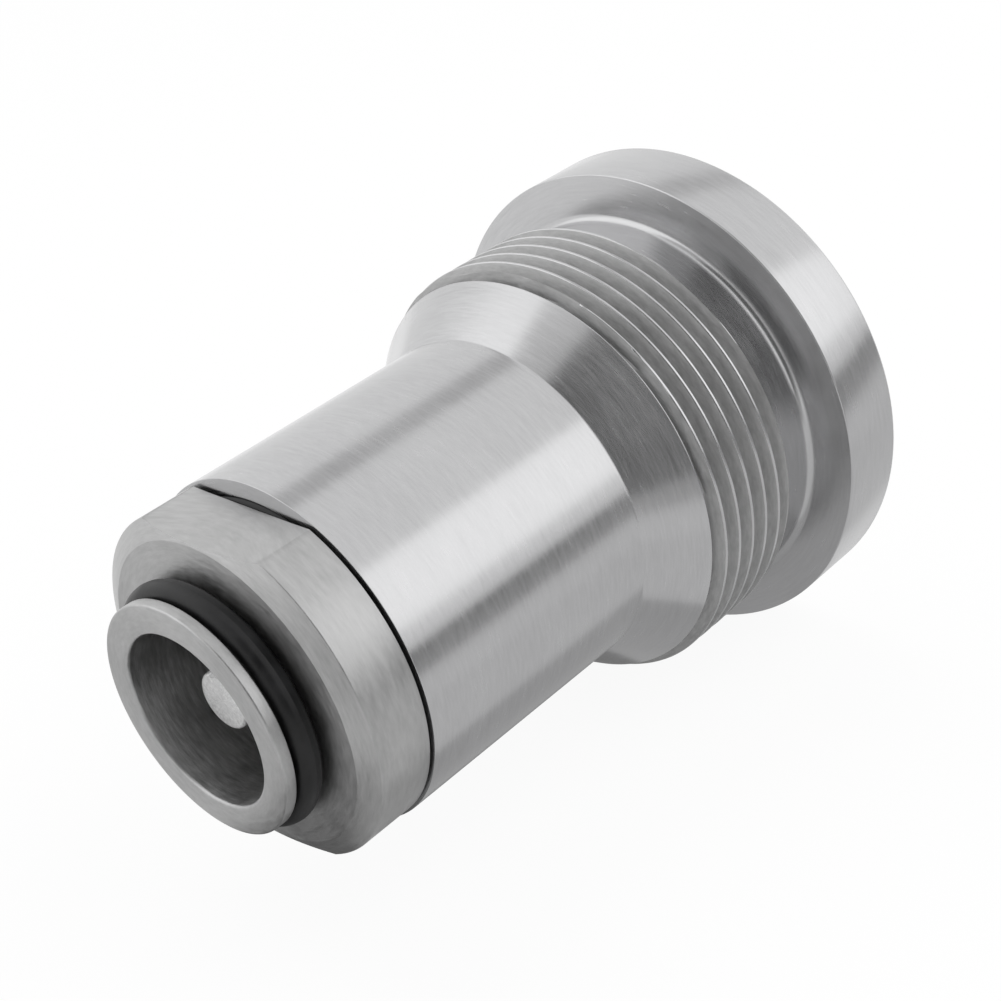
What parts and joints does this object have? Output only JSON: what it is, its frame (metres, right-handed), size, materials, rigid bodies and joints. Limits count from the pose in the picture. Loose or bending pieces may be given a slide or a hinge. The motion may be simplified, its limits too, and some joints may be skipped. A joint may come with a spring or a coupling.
{
  "type": "hydraulic quick coupler",
  "caption": "Screw-in female hydraulic quick coupler with a spring-centred floating socket, locking balls, sealed poppet valve, threaded flanged body and sealed nose.",
  "frame": {"origin": "on the coupler's axis, halfway along its length", "axes": "+X along the axis from the nose to the mouth that takes the plug, +Z square to the upper wrench flat"},
  "size_m": [0.0662, 0.0482, 0.0482],
  "materials": {
    "turned_steel": "fine turned, satin",
    "dull_turned_steel": "turned, dull satin",
    "ground_steel": "hardened and ground",
    "ball_steel": "polished",
    "spring_steel": "oiled dark wire",
    "black_rubber": "smooth nitrile rubber",
    "white_ptfe": "PTFE"
  },
  "bodies": {
    "root": {"body": "turned_steel", "end_adapter": "dull_turned_steel", "nose_o_ring": "black_rubber", "joint_o_ring": "black_rubber", "valve_guide": "ground_steel", "rear_spring": "spring_steel", "socket_o_ring": "black_rubber", "socket_backup_ring": "white_ptfe", "poppet_spring": "spring_steel", "lock_ring": "ground_steel", "front_washer": "ground_steel", "wave_spring": "spring_steel", "front_ring": "dull_turned_steel", "mouth_circlip": "spring_steel"},
    "socket": {"socket": "ground_steel", "rear_washer": "ground_steel", "plug_seal": "black_rubber", "plug_backup_ring": "white_ptfe", "dust_wiper": "black_rubber", "cage_snap_ring": "spring_steel"},
    "poppet": {"poppet": "ground_steel", "poppet_seal": "black_rubber", "poppet_cap": "ground_steel"},
    "locking_ball_1": {"locking_ball_1": "ball_steel"},
    "locking_ball_2": {"locking_ball_2": "ball_steel"},
    "locking_ball_3": {"locking_ball_3": "ball_steel"},
    "locking_ball_4": {"locking_ball_4": "ball_steel"},
    "locking_ball_5": {"locking_ball_5": "ball_steel"},
    "locking_ball_6": {"locking_ball_6": "ball_steel"},
    "locking_ball_7": {"locking_ball_7": "ball_steel"},
    "locking_ball_8": {"locking_ball_8": "ball_steel"}
  },
  "joints": [
    {"name": "socket_slide", "type": "slide", "parent": "root", "child": "socket", "axis": [1, 0, 0], "range_m": [-0.004, 0], "stiffness_N_per_m": 12000, "springref_m": 0.001, "deforming": ["rear_spring"]},
    {"name": "poppet_slide", "type": "slide", "parent": "socket", "child": "poppet", "axis": [1, 0, 0], "range_m": [-0.006, 0], "stiffness_N_per_m": 3000, "springref_m": 0.002, "deforming": ["poppet_spring"]},
    {"name": "ball_1_slide", "type": "slide", "parent": "socket", "child": "locking_ball_1", "axis": [0, 0.3827, -0.9239], "range_m": [0, 0.0017]},
    {"name": "ball_2_slide", "type": "slide", "parent": "socket", "child": "locking_ball_2", "axis": [0, 0.9239, -0.3827], "range_m": [0, 0.0017]},
    {"name": "ball_3_slide", "type": "slide", "parent": "socket", "child": "locking_ball_3", "axis": [0, 0.9239, 0.3827], "range_m": [0, 0.0017]},
    {"name": "ball_4_slide", "type": "slide", "parent": "socket", "child": "locking_ball_4", "axis": [0, 0.3827, 0.9239], "range_m": [0, 0.0017]},
    {"name": "ball_5_slide", "type": "slide", "parent": "socket", "child": "locking_ball_5", "axis": [0, -0.3827, 0.9239], "range_m": [0, 0.0017]},
    {"name": "ball_6_slide", "type": "slide", "parent": "socket", "child": "locking_ball_6", "axis": [0, -0.9239, 0.3827], "range_m": [0, 0.0017]},
    {"name": "ball_7_slide", "type": "slide", "parent": "socket", "child": "locking_ball_7", "axis": [0, -0.9239, -0.3827], "range_m": [0, 0.0017]},
    {"name": "ball_8_slide", "type": "slide", "parent": "socket", "child": "locking_ball_8", "axis": [0, -0.3827, -0.9239], "range_m": [0, 0.0017]}
  ],
  "couplings": [
    {"joint": "ball_1_slide", "follows": "socket_slide", "ratio": -0.425},
    {"joint": "ball_2_slide", "follows": "socket_slide", "ratio": -0.425},
    {"joint": "ball_3_slide", "follows": "socket_slide", "ratio": -0.425},
    {"joint": "ball_4_slide", "follows": "socket_slide", "ratio": -0.425},
    {"joint": "ball_5_slide", "follows": "socket_slide", "ratio": -0.425},
    {"joint": "ball_6_slide", "follows": "socket_slide", "ratio": -0.425},
    {"joint": "ball_7_slide", "follows": "socket_slide", "ratio": -0.425},
    {"joint": "ball_8_slide", "follows": "socket_slide", "ratio": -0.425}
  ]
}
